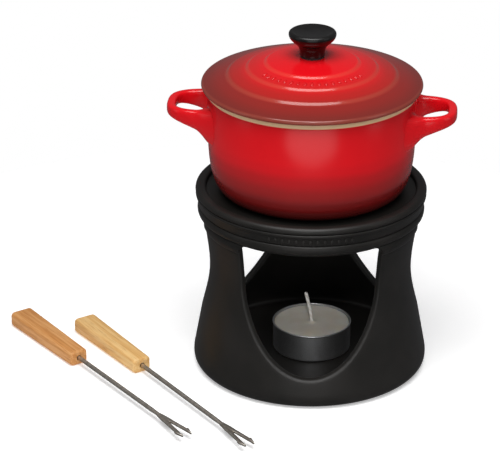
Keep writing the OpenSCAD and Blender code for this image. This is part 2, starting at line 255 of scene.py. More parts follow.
pot_glaze, tree, shader, place = finish("red_pot_glaze", Roughness=0.22, IOR=1.5, Specular_IOR_Level=0.42)
height, away = parts(tree, place)
# Painted shade: the height ramp darkens the lower pot for the stand's shade and its black reflection, over
# the glaze's own break.
break_and_painted_shade = between(tree, unevenly(tree, height, place, 30), SEAT_Z + RED_FROM, SEAT_Z + RED_TO)
red_and_painted_light = fade(tree, break_and_painted_shade, (0.0, "1a0606"), (0.13, "641413"), (0.30, "7c1717"), (0.50, "9a1617"),
           (0.69, "b61218"), (0.86, "d4101a"), (1.0, "dc101a"))
above = between(tree, height, POT_TOP_Z - CREAM_BAND - 0.25, POT_TOP_Z - CREAM_BAND + 0.15)
wall_middle = add(tree, "ShaderNodeMapRange", {
    "Value": height, "From Min": (SEAT_Z + 4.5) * MM, "From Max": (SEAT_Z + 22) * MM,
    "To Min": MIDDLE_LOW * MM, "To Max": MIDDLE_HIGH * MM}).outputs["Result"]
inside = add(tree, "ShaderNodeMath", {0: away, 1: wall_middle}, operation="LESS_THAN").outputs[0]
up = between(tree, height, SEAT_Z + 4.0, SEAT_Z + 4.5)
within = add(tree, "ShaderNodeMath", {0: inside, 1: up}, operation="MULTIPLY").outputs[0]
liner = add(tree, "ShaderNodeMath", {0: above, 1: within}, operation="MAXIMUM").outputs[0]
both = add(tree, "ShaderNodeMixRGB", {"Fac": liner, "Color1": red_and_painted_light, "Color2": linear("e8c59a")})
tree.links.new(both.outputs["Color"], shader.inputs["Base Color"])
glaze_skin(tree, shader, place)
print("pot glaze from", SEAT_Z, "to", POT_TOP_Z, "mm")

# %% [markdown]
# ## Lid glaze
# The lid has the same red, and breaks to brown towards its edge instead, and part of that
# brown is painted reflection of the dull room in the gloss. The ramp runs outwards from
# the knob. Lighter bands on the three steps and at the lid's edge are painted highlights.

# %% Lid glaze
lid_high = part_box("lid")[1]
LID_R = lid_high.x / MM
CROWN_Z = lid_high.z / MM
STEPS = [LID_R - from_edge for from_edge in (30, 21.4, 12.2)]
PAINTED_HIGHLIGHT = 0.15
lid_glaze, tree, shader, place = finish("red_lid_glaze", Roughness=0.17, IOR=1.5, Specular_IOR_Level=0.42)
height, away = parts(tree, place)
# Painted reflection: part of the brown towards the edge stands for the room reflected in the gloss.
outward_break_and_reflection = between(tree, unevenly(tree, away, place, 35), 21.5, 53.5)
red_and_painted_light = fade(tree, outward_break_and_reflection, (0.0, "dc0f19"), (0.31, "c81a1c"), (0.50, "b01f1c"), (0.69, "8b2520"),
           (1.0, "742822"))
# Painted highlight: narrow lighter bands on the step shoulders and at the lid's edge.
painted_edge_highlight = between(tree, away, LID_R - 1.2, LID_R - 0.2)
for step in STEPS:
    off = add(tree, "ShaderNodeMath", {0: away, 1: step * MM}, operation="SUBTRACT").outputs[0]
    off = add(tree, "ShaderNodeMath", {0: off}, operation="ABSOLUTE").outputs[0]
    beyond = between(tree, off, 0.2, 1.3)
    ring = add(tree, "ShaderNodeMath", {0: 1.0, 1: beyond}, operation="SUBTRACT").outputs[0]
    painted_edge_highlight = add(tree, "ShaderNodeMath", {0: painted_edge_highlight, 1: ring}, operation="MAXIMUM").outputs[0]
painted_edge_highlight = add(tree, "ShaderNodeMath", {0: painted_edge_highlight, 1: PAINTED_HIGHLIGHT}, operation="MULTIPLY").outputs[0]
both = add(tree, "ShaderNodeMixRGB", {"Fac": painted_edge_highlight, "Color1": red_and_painted_light, "Color2": linear("d87a62")})
tree.links.new(both.outputs["Color"], shader.inputs["Base Color"])
glaze_skin(tree, shader, place)

# %% [markdown]
# ## Black stoneware
# The stand has a matt black glaze over a coarser clay. It is dark, and its sheen is soft
# and broad, so that light shows only on edges and bends. The grain of the clay, under a
# millimetre, comes through as a very shallow roughness.

# %% Black stoneware
stand_black, tree, shader, place = finish("black_stoneware", IOR=1.45, Specular_IOR_Level=0.36)
grain = add(tree, "ShaderNodeTexNoise", {
    "Vector": place, "Scale": 1 / (0.8 * MM), "Detail": 3.0}).outputs["Fac"]
patch = add(tree, "ShaderNodeTexNoise", {"Vector": place, "Scale": 1 / (18 * MM)}).outputs["Fac"]
paint(tree, shader, patch, (0.3, "191816"), (0.7, "1f1d1b"))
polish(tree, shader, patch, 0.38, 0.48)
emboss(tree, shader, grain, 0.02, 0.5)

# %% [markdown]
# ## Knob resin
# The knob is phenolic resin pressed in a polished mould, which leaves its sides like
# glass. The dish on top is handled and rubbed, so it is only satin.

# %% Knob resin
knob_low, knob_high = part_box("knob")
KNOB_TOP_Z = knob_high.z / MM
KNOB_R = knob_high.x / MM
knob_black, tree, shader, place = finish("black_phenolic", IOR=1.6, Specular_IOR_Level=0.32)
height = parts(tree, place)[0]
rubbed = add(tree, "ShaderNodeTexNoise", {"Vector": place, "Scale": 1 / (2 * MM)}).outputs["Fac"]
paint(tree, shader, rubbed, (0.3, "0b0a0a"), (0.7, "121110"))
polish(tree, shader, between(tree, height, KNOB_TOP_Z - 1.9, KNOB_TOP_Z - 0.9), 0.09, 0.36)

# %% [markdown]
# ## Tealight: foil, wax and cotton
# The cup is drawn from aluminium foil, and the drawing leaves fine upright lines about
# half a millimetre apart. Paraffin wax lets light in a little way. The wick is braided
# cotton, stiff with wax.

# %% Tealight finishes
cup_low, cup_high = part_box("tealight_cup")
CUP_X = (cup_low.x + cup_high.x) / 2 / MM
CUP_R = (cup_high.x - cup_low.x) / 2 / MM
CUP_Z, CUP_TOP_Z = cup_low.z / MM, cup_high.z / MM
FOIL_LINE = 0.5
foil, tree, shader, place = finish("drawn_aluminium", Metallic=1.0)
middle = add(tree, "ShaderNodeMapping", {"Vector": place, "Location": (-CUP_X * MM, 0, 0)}).outputs["Vector"]
turned = add(tree, "ShaderNodeVectorMath", {0: middle}, operation="NORMALIZE")
lines = add(tree, "ShaderNodeMapping", {
    "Vector": turned.outputs["Vector"],
    "Scale": (2 * CUP_R / FOIL_LINE, 2 * CUP_R / FOIL_LINE, 3.0)}).outputs["Vector"]
drawn = add(tree, "ShaderNodeTexNoise", {"Vector": lines, "Scale": 1.0, "Detail": 2.0}).outputs["Fac"]
paint(tree, shader, drawn, (0.3, "c4c5c6"), (0.7, "d0d1d2"))
polish(tree, shader, drawn, 0.42, 0.50)
emboss(tree, shader, drawn, 0.008, 0.4)

wax, tree, shader, place = finish("paraffin_wax", Roughness=0.42, IOR=1.43, Subsurface_Weight=0.35)
shader.inputs["Subsurface Radius"].default_value = (3 * MM, 2 * MM, 1.2 * MM)
shader.inputs["Subsurface Scale"].default_value = 1.0
milky = add(tree, "ShaderNodeTexNoise", {
    "Vector": place, "Scale": 1 / (7 * MM), "Detail": 2.0}).outputs["Fac"]
paint(tree, shader, milky, (0.3, "efe6d6"), (0.7, "f6efe2"))
emboss(tree, shader, milky, 0.1, 0.4)

cotton, tree, shader, place = finish("braided_cotton", Roughness=0.7, Specular_IOR_Level=0.3)
braid = add(tree, "ShaderNodeTexWave", {
    "Vector": place, "Scale": 1 / (4.4 * MM), "Distortion": 1.5}, bands_direction="DIAGONAL").outputs["Fac"]
paint(tree, shader, braid, (0.1, "eae5da"), (0.8, "faf8f3"))
emboss(tree, shader, braid, 0.06, 0.5)

# %% [markdown]
# ## Fork wood and steel
# The handles are a light, close wood, cut along the grain and oiled. Early and late wood
# show as long soft bands 2 mm apart, with fine pores along them. Grain must run with the
# handle, so a Mapping node turns the pattern to the fork's direction and stretches it.
# The two handles come from different boards, and one is redder than the other.

# %% Fork finishes
FORK_TURNS = {"fork_1": -54.0, "fork_2": -55.5}
FORK_WOODS = {"fork_1": ("cf9154", "daa268", "c2854a"), "fork_2": ("e4b572", "ecc486", "d8a562")}


def wood(name, fork):
    """Oiled wood whose grain runs along one fork."""
    material, tree, shader, place = finish(name, Roughness=0.5, Specular_IOR_Level=0.3)
    along = add(tree, "ShaderNodeMapping", {
        "Vector": place, "Rotation": (0, 0, radians(-FORK_TURNS[fork]))}).outputs["Vector"]
    bands = add(tree, "ShaderNodeMapping", {
        "Vector": along, "Scale": (0.02 / MM, 0.6 / MM, 0.5 / MM)}).outputs["Vector"]
    fibre = add(tree, "ShaderNodeMapping", {
        "Vector": along, "Scale": (0.1 / MM, 3.0 / MM, 3.0 / MM)}).outputs["Vector"]
    ring = add(tree, "ShaderNodeTexNoise", {"Vector": bands, "Scale": 1.0, "Detail": 2.0, "Distortion": 0.2})
    pore = add(tree, "ShaderNodeTexNoise", {"Vector": fibre, "Scale": 1.0, "Detail": 3.0})
    base, pale, dark = FORK_WOODS[fork]
    bands_colour = fade(tree, ring.outputs["Fac"], (0.30, dark), (0.46, base), (0.62, pale))
    pores = fade(tree, pore.outputs["Fac"], (0.28, "d6bfa6"), (0.50, "ffffff"))
    colour = add(tree, "ShaderNodeMixRGB", {"Fac": 0.8, "Color1": bands_colour, "Color2": pores},
                 blend_type="MULTIPLY")
    tree.links.new(colour.outputs["Color"], shader.inputs["Base Color"])
    emboss(tree, shader, pore.outputs["Fac"], 0.05, 0.5)
    return material


woods = {fork: wood(fork + "_oiled_wood", fork) for fork in FORK_TURNS}

fork_steel, tree, shader, place = finish("drawn_fork_steel", Metallic=1.0)
rubbed = add(tree, "ShaderNodeTexNoise", {
    "Vector": place, "Scale": 1 / (1.5 * MM), "Detail": 4.0}).outputs["Fac"]
paint(tree, shader, rubbed, (0.3, "bdb5a8"), (0.7, "d8d1c6"))
polish(tree, shader, rubbed, 0.38, 0.5)
emboss(tree, shader, rubbed, 0.03, 0.4)
print("woods:", [m.name for m in woods.values()])

# %% [markdown]
# ## Hidden hardware
# A turned brass insert, a steel screw with its washer, a silicone gasket and the small
# steel disc under the wick. Their CAD shapes are right as they are, and only need a
# finish. Turned and stamped metal shows fine rubbed streaks.

# %% Hidden hardware
def metal(name, dark, light, rough):
    """Metal with a rubbed grain of about 0.6 mm."""
    material, tree, shader, place = finish(name, Metallic=1.0, Roughness=rough)
    streak = add(tree, "ShaderNodeTexNoise", {"Vector": place, "Scale": 1 / (0.6 * MM), "Detail": 2.0})
    paint(tree, shader, streak.outputs["Fac"], (0.3, dark), (0.7, light))
    emboss(tree, shader, streak.outputs["Fac"], 0.01, 0.4)
    return material


def clad(node, material):
    """Gives a CAD node a finish in place of the plain one that it came with."""
    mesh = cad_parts[node].data
    mesh.materials.clear()
    mesh.materials.append(material)


brass = metal("turned_brass", "b08a44", "c9a35c", 0.28)
stainless = metal("stamped_stainless", "b2b2b0", "c8c8c6", 0.3)
silicone, tree, shader, place = finish("black_silicone", Roughness=0.65, Specular_IOR_Level=0.35)
dust = add(tree, "ShaderNodeTexNoise", {"Vector": place, "Scale": 1 / (1 * MM)}).outputs["Fac"]
paint(tree, shader, dust, (0.3, "262525"), (0.7, "312f2f"))
clad("knob_insert", brass)
clad("knob_screw", stainless)
clad("knob_washer", stainless)
clad("wick_sustainer", stainless)
clad("knob_gasket", silicone)

# %% [markdown]
# ## Turning
# Most pieces of the set were turned or pressed in a round mould. A profile is drawn by
# extruding one vertex from point to point, the profile is spun round the axis, and the
# seam is merged. Short arcs and bends between the points give the soft edges.

# %% Helpers for turned pieces
def arc(x, z, r, a, b, n=6):
    """Points on an arc round (x, z), from a to b degrees."""
    return [(x + r * cos(radians(a + (b - a) * i / n)), z + r * sin(radians(a + (b - a) * i / n)))
            for i in range(n + 1)]


def bend(p, q, r, n=8):
    """Points on a curve from p to r that is drawn towards q, without p itself."""
    return [tuple((1 - t) ** 2 * p[k] + 2 * t * (1 - t) * q[k] + t * t * r[k] for k in (0, 1))
            for t in ((i + 1) / n for i in range(n))]


def alone():
    """Back to object mode, with nothing selected."""
    if bpy.context.object and bpy.context.object.mode != "OBJECT":
        bpy.ops.object.mode_set(mode="OBJECT")
    bpy.ops.object.select_all(action="DESELECT")


def take(piece):
    """Selects one piece alone and makes it the active one."""
    alone()
    piece.select_set(True)
    bpy.context.view_layer.objects.active = piece


def draw(name, points):
    """An open line through (across, up) points in millimetres, in the XZ plane."""
    alone()
    x, z = points[0]
    bpy.ops.mesh.primitive_plane_add(size=MM, location=(x * MM, 0, z * MM))
    piece = bpy.context.object
    piece.name = piece.data.name = name
    bpy.ops.object.transform_apply(location=True)
    bpy.ops.object.mode_set(mode="EDIT")
    bpy.ops.mesh.select_mode(type="VERT")
    bpy.ops.mesh.merge(type="CENTER")
    for (x, z), (x2, z2) in zip(points, points[1:]):
        bpy.ops.mesh.extrude_region_move(TRANSFORM_OT_translate={"value": ((x2 - x) * MM, 0, (z2 - z) * MM)})
    return piece


def close_up(piece, sharp=38):
    """Merges the seam, turns the faces outwards and shades the piece smooth."""
    take(piece)
    bpy.ops.object.mode_set(mode="EDIT")
    bpy.ops.mesh.select_mode(type="VERT")
    bpy.ops.mesh.select_all(action="SELECT")
    bpy.ops.mesh.remove_doubles(threshold=0.004 * MM)
    bpy.ops.mesh.normals_make_consistent(inside=False)
    bpy.ops.object.mode_set(mode="OBJECT")
    bpy.ops.object.shade_smooth_by_angle(angle=radians(sharp))


def turn(name, points, steps=180, centre_x=0.0):
    """Spins a profile of (radius, height) points all the way round."""
    piece = draw(name, [(x + centre_x, z) for x, z in points])
    bpy.ops.mesh.select_all(action="SELECT")
    bpy.ops.mesh.spin(steps=steps, angle=2 * pi, center=(centre_x * MM, 0, 0), axis=(0, 0, 1))
    close_up(piece)
    return piece


def keep(piece, body, slot, material, *nodes):
    """The piece is done: its finish, its body, and the CAD nodes that it stands for."""
    piece.data.materials.clear()
    piece.data.materials.append(material)
    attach(piece, body)
    if nodes:
        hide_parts(*nodes)
    mesh = bmesh.new()
    mesh.from_mesh(piece.data)
    loose = sum(len(edge.link_faces) != 2 for edge in mesh.edges)
    mesh.free()
    box = [round(v / MM, 1) for corner in (0, 6) for v in piece.bound_box[corner]]
    print(piece.name, len(piece.data.polygons), "faces,", loose, "open edges,", box)


# %% [markdown]
# ## Pot body
# One turned shell: a foot ring, a round turn into the side, a side that opens by little,
# and a soft rim. Wall and bottom have their real thickness.

# %% Pot body
POT_FOOT_R = 39.5
POT_TURN_R = 46.8
POT_FLOOR = 5
foot = (POT_FOOT_R, SEAT_Z + 0.25)
belly = (POT_TURN_R, SEAT_Z + 9.5)
wide = (POT_RIM_R - 0.8, SEAT_Z + 22.5)
rim_low = (POT_RIM_R - 0.2, POT_TOP_Z - RIM_BAND)
in_r, in_floor = POT_RIM_R - POT_WALL, SEAT_Z + POT_FLOOR
pot_line = [(0, SEAT_Z + 0.8), (POT_FOOT_R - 6.2, SEAT_Z + 0.8), (POT_FOOT_R - 5.6, SEAT_Z + 0.6),
            (POT_FOOT_R - 5.2, SEAT_Z + 0.1), (POT_FOOT_R - 4.8, SEAT_Z), (POT_FOOT_R - 0.5, SEAT_Z), foot]
pot_line += bend(foot, (POT_TURN_R - 1.6, SEAT_Z + 2), belly, 14)
pot_line += bend(belly, (wide[0] - 0.5, belly[1] + 4), wide, 8)
pot_line += [rim_low, (rim_low[0] - 0.12, rim_low[1] + 0.25)]
pot_line += [(POT_RIM_R - 0.25, rim_low[1] + 0.6), (POT_RIM_R - 0.1, rim_low[1] + 1.6)]
pot_line += arc(POT_RIM_R - 1.1, POT_TOP_Z - 1.0, 1.0, 0, 90, 6)
pot_line += arc(in_r + 1.0, POT_TOP_Z - 1.0, 1.0, 90, 180, 6)
pot_line += bend((in_r, in_floor + 16), (in_r - 1.4, in_floor), (in_r - 12, in_floor), 12)
pot_line += [(0, in_floor)]
pot_body = turn("pot_body", pot_line)
keep(pot_body, "pot", "red_glaze", pot_glaze, "pot")

# %% [markdown]
# ## Pot handles
# Each handle is a strap of clay bent into a loop and luted on while damp, and its two
# ends swell where they run into the wall. A tube of rings is extruded straight first.
# Every ring is then moved to its place on the loop, where the strap's height and
# thickness are worked out from how near the wall is. Close to the wall the strap also
# spreads over it and follows its curve, as the smeared clay does.

# %% Pot handles
POT_TURN = -3.5
HANDLE_T, HANDLE_H = 4.2, 5.2
HANDLE_HALF = 16 - HANDLE_T / 2
HANDLE_START = POT_RIM_R - POT_WALL + 0.3
HANDLE_REACH = POT_RIM_R + 18.6 - HANDLE_T / 2 - HANDLE_START
HANDLE_TOP_Z = POT_TOP_Z - 9
HANDLE_ROOT, HANDLE_FLARE, FILLET = 7.5, 3.0, 6.0
HANDLE_RINGS = 60
ROOT_IN, ROOT_OUT = 1.2, 4.0
ROOT_UP, ROOT_DOWN = 1.2, 4.6


def straight_tube(name, rings, sides):
    """A tube of unit radius along +X, with a ring at each whole number, for laying along a path."""
    alone()
    bpy.ops.mesh.primitive_circle_add(vertices=sides, radius=1, rotation=(0, pi / 2, 0))
    piece = bpy.context.object
    piece.name = piece.data.name = name
    bpy.ops.object.transform_apply(rotation=True)
    bpy.ops.object.mode_set(mode="EDIT")
    bpy.ops.mesh.select_mode(type="VERT")
    bpy.ops.mesh.select_all(action="SELECT")
    bpy.ops.mesh.edge_face_add()
    for _ in range(rings):
        bpy.ops.mesh.extrude_region_move(TRANSFORM_OT_translate={"value": (1, 0, 0)})
    bpy.ops.object.mode_set(mode="OBJECT")
    return piece


def lay(piece, where):
    """Moves each vertex of a straight tube to where(ring, angle), in millimetres."""
    for vertex in piece.data.vertices:
        x, y, z = vertex.co
        vertex.co = Vector(where(round(x), atan2(z, y))) * MM
    piece.data.update()


def squared(value, power):
    """A sine or cosine pushed outwards, which squares a circle's sides."""
    return abs(value) ** power * (1 if value >= 0 else -1)


def loop_point(t):
    """The middle of the strap in plan, at t from -90 to 90 degrees."""
    return Vector((HANDLE_START + HANDLE_REACH * squared(max(cos(radians(t)), 0), 0.66),
                   HANDLE_HALF * squared(sin(radians(t)), 0.66)))


def on_loop(ring, angle):
    """A point of the strap's skin."""
    t = -90 + 180 * ring / HANDLE_RINGS
    p = loop_point(t)
    way = (loop_point(min(t + 1, 90)) - loop_point(max(t - 1, -90))).normalized()
    inward = max((HANDLE_START + HANDLE_REACH - p.x) / HANDLE_REACH, 0)
    near = min(max(1 - (p.length - POT_RIM_R) / FILLET, 0), 1) ** 1.9
    sideways = near * (ROOT_IN if cos(angle) > 0 else ROOT_OUT)
    upright = near * (ROOT_UP if sin(angle) > 0 else ROOT_DOWN)
    tall = HANDLE_H + HANDLE_ROOT * inward ** 1.3
    thick = HANDLE_T + HANDLE_FLARE * inward ** 4
    u = squared(cos(angle), 0.62) * (thick / 2 + sideways)
    v = squared(sin(angle), 0.62) * (tall / 2 + upright)
    x, y = p.x - way.y * u, p.y + way.x * u
    if abs(p.y) < POT_RIM_R and abs(y) < POT_RIM_R:
        x -= near * (sqrt(POT_RIM_R ** 2 - p.y ** 2) - sqrt(POT_RIM_R ** 2 - y ** 2))
    return x, y, HANDLE_TOP_Z - tall / 2 + v


handles = straight_tube("pot_handles", HANDLE_RINGS, 24)
lay(handles, on_loop)
take(handles)
bpy.ops.object.duplicate()
bpy.ops.transform.rotate(value=pi, orient_axis="Z", center_override=(0, 0, 0))
handles.select_set(True)
bpy.context.view_layer.objects.active = handles
bpy.ops.object.join()
bpy.ops.transform.rotate(value=-radians(POT_TURN), orient_axis="Z", center_override=(0, 0, 0))
bpy.ops.object.transform_apply(location=True, rotation=True, scale=True)
close_up(handles, 50)
keep(handles, "pot", "red_glaze", pot_glaze)

# %% [markdown]
# ## Lid
# The lid is a low dome with three broad steps, pressed in a mould and softened by its
# glaze. Each step is a shoulder about 2 mm wide. Underneath, a rim locates it in the pot.

# %% Lid
LID_EDGE = POT_TOP_Z + 2.5
STEP_H = 0.8
FLAT_R = 7.1
DOME_R = LID_R - 1.5
DOME_H = CROWN_Z - LID_EDGE - 3 * STEP_H
SHOULDER = 2.0
LID_WALL = 4.2
LID_GAP = 0.02
RIM_PLAY = 0.8


def soft_step(t):
    """0 to 1 with no corner at either end."""
    t = min(max(t, 0), 1)
    return t * t * (3 - 2 * t)


def lid_top(r):
    """Height of the lid's top at a radius."""
    dome = DOME_H * (1 - (max(r - FLAT_R, 0) / (DOME_R - FLAT_R)) ** 1.4)
    return LID_EDGE + dome + STEP_H * sum(soft_step((s - r) / SHOULDER + 0.5) for s in STEPS)


rim_r = in_r - RIM_PLAY
lid_line = [(0, CROWN_Z - LID_WALL), (FLAT_R + 4, CROWN_Z - LID_WALL), (rim_r - 4, LID_EDGE - 0.6)]
lid_line += [(rim_r - 3.4, POT_TOP_Z - 3.0)] + arc(rim_r - 1.6, POT_TOP_Z - 2.6, 0.9, 210, 330, 6)
lid_line += [(rim_r, POT_TOP_Z - 1.5), (rim_r, POT_TOP_Z - 0.2), (rim_r + 0.25, POT_TOP_Z + LID_GAP)]
lid_line += [(LID_R - 1.2, POT_TOP_Z + LID_GAP)]
lid_line += arc(LID_R - 1.1, POT_TOP_Z + 1.12, 1.1, -80, 25, 8)
shoulder = (DOME_R, lid_top(DOME_R))
lid_line += bend((LID_R - 0.1, POT_TOP_Z + 1.6), (LID_R - 0.35, LID_EDGE - 0.15), shoulder, 6)
radius = DOME_R
while radius > 0.6:
    near_step = min(abs(radius - s) for s in STEPS) < 1.4
    radius -= 0.2 if near_step else 0.6
    lid_line.append((max(radius, 0.4), lid_top(radius)))
lid_line += [(0, CROWN_Z)]
lid = turn("lid_shell", lid_line)
keep(lid, "lid", "lid_glaze", lid_glaze, "lid")

# %% [markdown]
# ## Raised pips
# Where a maker would put raised lettering, this set has a plain arc of pips. A pip is a
# low oval dome. It is made once, cut off under its skin, and copied along the arc.

# %% Raised pips
def pip_arc(name, width, tall, proud, tilt, at_radius, at_height, half_angle, count):
    """An arc of oval pips facing the front, joined into one piece."""
    alone()
    bpy.ops.mesh.primitive_uv_sphere_add(segments=16, ring_count=10, radius=1)
    first = bpy.context.object
    first.name = first.data.name = name
    bpy.ops.object.mode_set(mode="EDIT")
    bpy.ops.mesh.select_all(action="SELECT")
    bpy.ops.transform.resize(value=(width / 2 * MM, tall / 2 * MM, proud * MM))
    bpy.ops.mesh.select_all(action="SELECT")
    bpy.ops.mesh.bisect(
        plane_co=(0, 0, -0.3 * proud * MM), plane_no=(0, 0, 1), use_fill=True, clear_inner=True)
    bpy.ops.object.mode_set(mode="OBJECT")
    first.rotation_euler = (radians(tilt), 0, 0)
    first.location = (0, -at_radius * MM, at_height * MM)
    bpy.ops.object.transform_apply(location=True, rotation=True, scale=True)
    copies = []
    for k in range(count):
        take(first)
        bpy.ops.object.duplicate()
        turn_by = radians(-half_angle + 2 * half_angle * k / (count - 1))
        bpy.ops.transform.rotate(value=-turn_by, orient_axis="Z", center_override=(0, 0, 0))
        bpy.ops.object.transform_apply(location=True, rotation=True, scale=True)
        copies.append(bpy.context.object)
    bpy.data.objects.remove(first)
    alone()
    for copy in copies:
        copy.select_set(True)
    bpy.context.view_layer.objects.active = copies[0]
    bpy.ops.object.join()
    copies[0].name = copies[0].data.name = name
    close_up(copies[0], 60)
    return copies[0]


PIP_R = (STEPS[0] + STEPS[1]) / 2 + 0.2
slope = (lid_top(PIP_R - 1) - lid_top(PIP_R + 1)) / 2
lid_pips = pip_arc("lid_pips", 1.7, 3.0, 0.55, degrees(atan(slope)), PIP_R, lid_top(PIP_R), 56, 17)
keep(lid_pips, "lid", "lid_glaze", lid_glaze)

# %% [markdown]
# ## Knob
# A waisted neck opens into a broad head with a round lip and a dish. The dish shades
# apart from the lip, because its edge is rubbed soft.

# %% Knob
KNOB_Z = knob_low.z / MM
NECK_R = 5.9
BORE_R, BORE_H = 3.45, 7
head = (KNOB_R - 2.3, KNOB_Z + 6.55)
knob_line = [(0, KNOB_Z + BORE_H), (BORE_R, KNOB_Z + BORE_H), (BORE_R, KNOB_Z)]
knob_line += [(NECK_R - 0.3, KNOB_Z), (NECK_R, KNOB_Z + 0.3)]
knob_line += bend((NECK_R, KNOB_Z + 0.4), (NECK_R - 0.3, KNOB_Z + 4.2), head, 14)
knob_line += bend(head, (KNOB_R - 0.2, KNOB_Z + 8.32), (KNOB_R, KNOB_TOP_Z - 1.8), 10)
knob_line += arc(KNOB_R - 1.4, KNOB_TOP_Z - 1.4, 1.4, 0, 105, 12)
knob_line += bend(knob_line[-1], (KNOB_R - 4.5, KNOB_TOP_Z - 1.2), (0, KNOB_TOP_Z - 1.2), 12)
knob = turn("knob_head", knob_line, 128)
keep(knob, "lid", "black_phenolic", knob_black, "knob")

# %% [markdown]
# ## Stand: the wall, flat
# The stand is one moulded shell with three windows. Cutting round windows into a round
# wall and rounding their edges is awkward, so the wall is made flat first, as a potter
# rolls a slab. The windows are cut out of the slab, their edges are rounded while it is
# flat, and it is then rolled up. Along the slab, 1 mm is 1 mm of arc at radius ROLL_R.

# %% The wall as a flat slab
STAND_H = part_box("stand")[1].z / MM
LIP_R = 54.8
LIP_W = 5.0
WAIST_R = LIP_R - 5.9
WAIST_Z = STAND_H - 38
WAIST_BEND = 12
SIDE_SLOPE = 0.195
STAND_WALL = 4.5
RING_Z = STAND_H - 20.5
LEDGE_Z = SEAT_Z - 5
WALL_LOW, WALL_HIGH = 8.0, RING_Z + 11.7
ROLL_R = 55.0
TURNS = 180
WINDOW_TURN = 120
WINDOW_HALF = 31.8
WINDOW_FLARE = 1.2
WINDOW_CORNER = 3.0
JAMB_PARALLEL = 0.4
JAMB_REACH, JAMB_FADE = 43, 16
SILL_Z = 14.5
WINDOW_TOP_Z = STAND_H - 15.6
WINDOW_MID_Z = STAND_H - 33.5


def side_r(z):
    """Outside radius of the waisted side."""
    return WAIST_R + SIDE_SLOPE * (sqrt(WAIST_BEND ** 2 + (z - WAIST_Z) ** 2) - WAIST_BEND)


def bead(r, a, b, out, n=8):
    """A half round bead on a wall, from height a to height b."""
    return [(r + out * sin(pi * i / n), (a + b) / 2 - (b - a) / 2 * cos(pi * i / n)) for i in range(n + 1)]


wall_line = [(side_r(z), z) for z in (8, 11, 14, 17, 20, 24, 28, 32, 36, 40, 44, 48, 52, 56, 60, 64, 68, 70)]
wall_line += [(side_r(RING_Z), RING_Z + 0.1)]
wall_line += bead(side_r(RING_Z), RING_Z + 0.5, RING_Z + 5.8, 1.0)
wall_line += [(side_r(RING_Z) + 0.5, RING_Z + 6.1), (LIP_R - 2.5, RING_Z + 6.5)]
wall_line += bead(LIP_R - 1.9, RING_Z + 7, RING_Z + 11.2, 1.0)
wall_line += [(LIP_R - 1.35, WALL_HIGH)]
inner_line = [(side_r(z) - STAND_WALL, z) for z in (8, 20, 40, 54, 66, 72, 76.5)]
inner_line += [(WAIST_R - STAND_WALL + 0.3, 80.5), (WAIST_R - STAND_WALL - 0.6, WALL_HIGH)]


def along_line(line, z):
    """Radius of a line of (radius, height) points at height z."""
    for (r, a), (r2, b) in zip(line, line[1:]):
        if z <= b:
            return r + (r2 - r) * max(z - a, 0) / (b - a)
    return line[-1][0]


def window_line():
    """A window's outline on the slab, as (along, up) points in millimetres."""
    tall = WINDOW_MID_Z - SILL_Z
    half = WINDOW_HALF + WINDOW_FLARE - WINDOW_CORNER
    side_top = WINDOW_TOP_Z - WINDOW_CORNER
    side = [(WINDOW_HALF + WINDOW_FLARE * k / 5, WINDOW_MID_Z + (side_top - WINDOW_MID_Z) * k / 5)
            for k in range(1, 5)]
    points = [(WINDOW_HALF * cos(radians(t)), WINDOW_MID_Z + tall * sin(radians(t)))
              for t in range(180, 361, 6)]
    points += side + arc(half, side_top, WINDOW_CORNER, 0, 90, 6)
    points += [((half + WINDOW_CORNER) * k / 6, WINDOW_TOP_Z) for k in range(4, -5, -1)]
    points += arc(-half, side_top, WINDOW_CORNER, 90, 180, 6)
    points += [(-x, z) for x, z in reversed(side)]
    return [(asin(x / side_r(z)) * ROLL_R, z) for x, z in points]


def window_cutter(at):
    """A solid with a window's outline, through the slab at an angle from the front."""
    points = [(x + radians(at) * ROLL_R, z) for x, z in window_line()]
    cutter = draw("window_cutter", points)
    bpy.ops.mesh.select_all(action="SELECT")
    bpy.ops.mesh.edge_face_add()
    bpy.ops.transform.translate(value=(0, -5 * MM, 0))
    bpy.ops.mesh.extrude_region_move(TRANSFORM_OT_translate={"value": (0, 15 * MM, 0)})
    bpy.ops.mesh.select_all(action="SELECT")
    bpy.ops.mesh.normals_make_consistent(inside=False)
    bpy.ops.object.mode_set(mode="OBJECT")
    return cutter


alone()
bpy.ops.mesh.primitive_cube_add(size=1)
wall = bpy.context.object
wall.name = wall.data.name = "stand_shell"
wall.scale = (2 * pi * ROLL_R * MM, STAND_WALL * MM, (WALL_HIGH - WALL_LOW) * MM)
wall.location = (0, STAND_WALL / 2 * MM, (WALL_HIGH + WALL_LOW) / 2 * MM)
bpy.ops.object.transform_apply(location=True, scale=True)
for at in (-WINDOW_TURN, 0, WINDOW_TURN):
    cutter = window_cutter(at)
    take(wall)
    cut = wall.modifiers.new("window", "BOOLEAN")
    cut.object = cutter
    cut.solver = "EXACT"
    bpy.ops.object.modifier_apply(modifier="window")
    bpy.data.objects.remove(cutter)
print("slab with windows:", len(wall.data.polygons), "faces")

# %% [markdown]
# ## Stand: rounding and rolling
# The rims of the windows are bevelled, more outside than inside. The slab is then cut
# across by bisecting it at every height of the profile and at every second degree, so
# that it can bend. In the roll, depth in the slab becomes depth in the wall. The sides
# of a window close a little inwards, between parallel and radial, so that the mould
# comes out, and that is why the inner skin slides a little past the outer one.

# %% Round the windows and roll the wall
def rim_edges(mesh, depth):
    """The edges round the windows on the slab's face at that depth."""
    found = []
    for edge in mesh.edges:
        a, b = (v.co / MM for v in edge.verts)
        flat = abs(a.y - depth) < 0.01 and abs(b.y - depth) < 0.01
        inside = all(WALL_LOW + 1 < p.z < WALL_HIGH - 1 and abs(p.x) < pi * ROLL_R - 1 for p in (a, b))
        if flat and inside and any(abs(face.normal.y) < 0.1 for face in edge.link_faces):
            found.append(edge)
    return found


